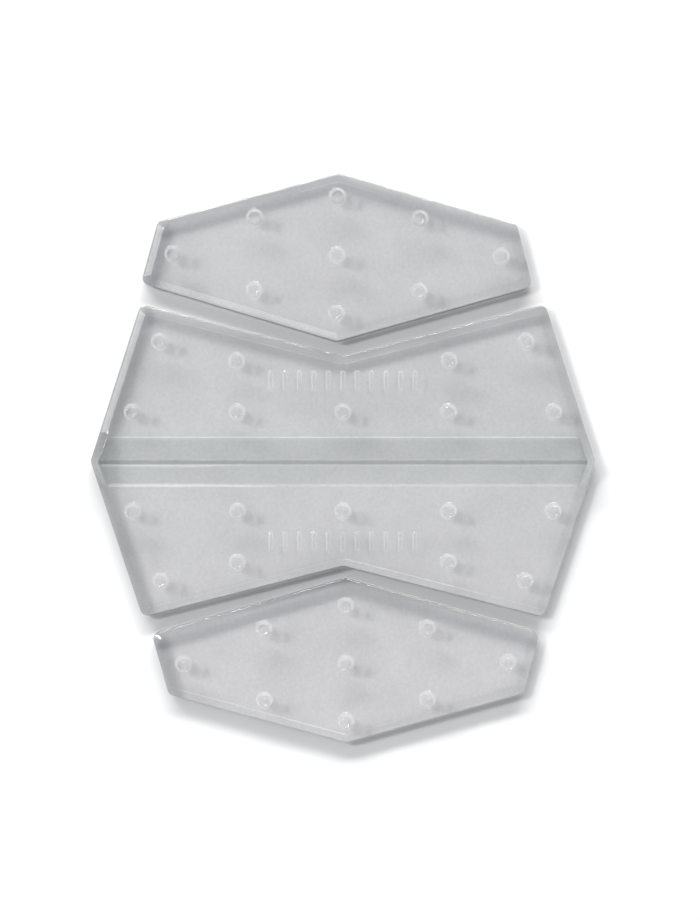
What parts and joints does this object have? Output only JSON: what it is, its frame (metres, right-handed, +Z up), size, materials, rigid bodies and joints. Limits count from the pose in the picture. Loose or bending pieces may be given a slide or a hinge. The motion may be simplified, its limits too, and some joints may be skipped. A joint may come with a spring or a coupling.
{
  "type": "snowboard stomp pad",
  "caption": "Clear soft-plastic stomp pad set: a ridged bow-tie centre pad between a toe pad and a heel pad, studded for grip, each on adhesive with a peel-off liner.",
  "frame": {"origin": "middle of the centre pad, on the underside of its release liner", "axes": "+Z up, away from the board; +Y along the column of pads towards the toe pad; +X along the centre pad's ridge"},
  "size_m": [0.1402, 0.1585, 0.0078],
  "materials": {
    "clear_pad": "clear soft PVC, glossy, slightly green where thick",
    "adhesive": "clear acrylic adhesive sheet with uneven wet-out",
    "liner": "pale siliconised release film, satin"
  },
  "bodies": {
    "centre_liner": {"centre_liner": "liner"},
    "centre_pad": {"centre_pad": "clear_pad", "centre_adhesive": "adhesive"},
    "toe_liner": {"toe_liner": "liner"},
    "toe_pad": {"toe_pad": "clear_pad", "toe_adhesive": "adhesive"},
    "heel_liner": {"heel_liner": "liner"},
    "heel_pad": {"heel_pad": "clear_pad", "heel_adhesive": "adhesive"}
  },
  "joints": [
    {"name": "centre_lift", "type": "slide", "parent": "centre_liner", "child": "centre_pad", "axis": [0, 0, 1], "range_m": [0, 0.04]},
    {"name": "toe_spacing", "type": "slide", "parent": "centre_liner", "child": "toe_liner", "axis": [0, 1, 0], "range_m": [-0.002, 0.03]},
    {"name": "toe_lift", "type": "slide", "parent": "toe_liner", "child": "toe_pad", "axis": [0, 0, 1], "range_m": [0, 0.04]},
    {"name": "heel_spacing", "type": "slide", "parent": "centre_liner", "child": "heel_liner", "axis": [0, -1, 0], "range_m": [-0.002, 0.03]},
    {"name": "heel_lift", "type": "slide", "parent": "heel_liner", "child": "heel_pad", "axis": [0, 0, 1], "range_m": [0, 0.04]}
  ]
}
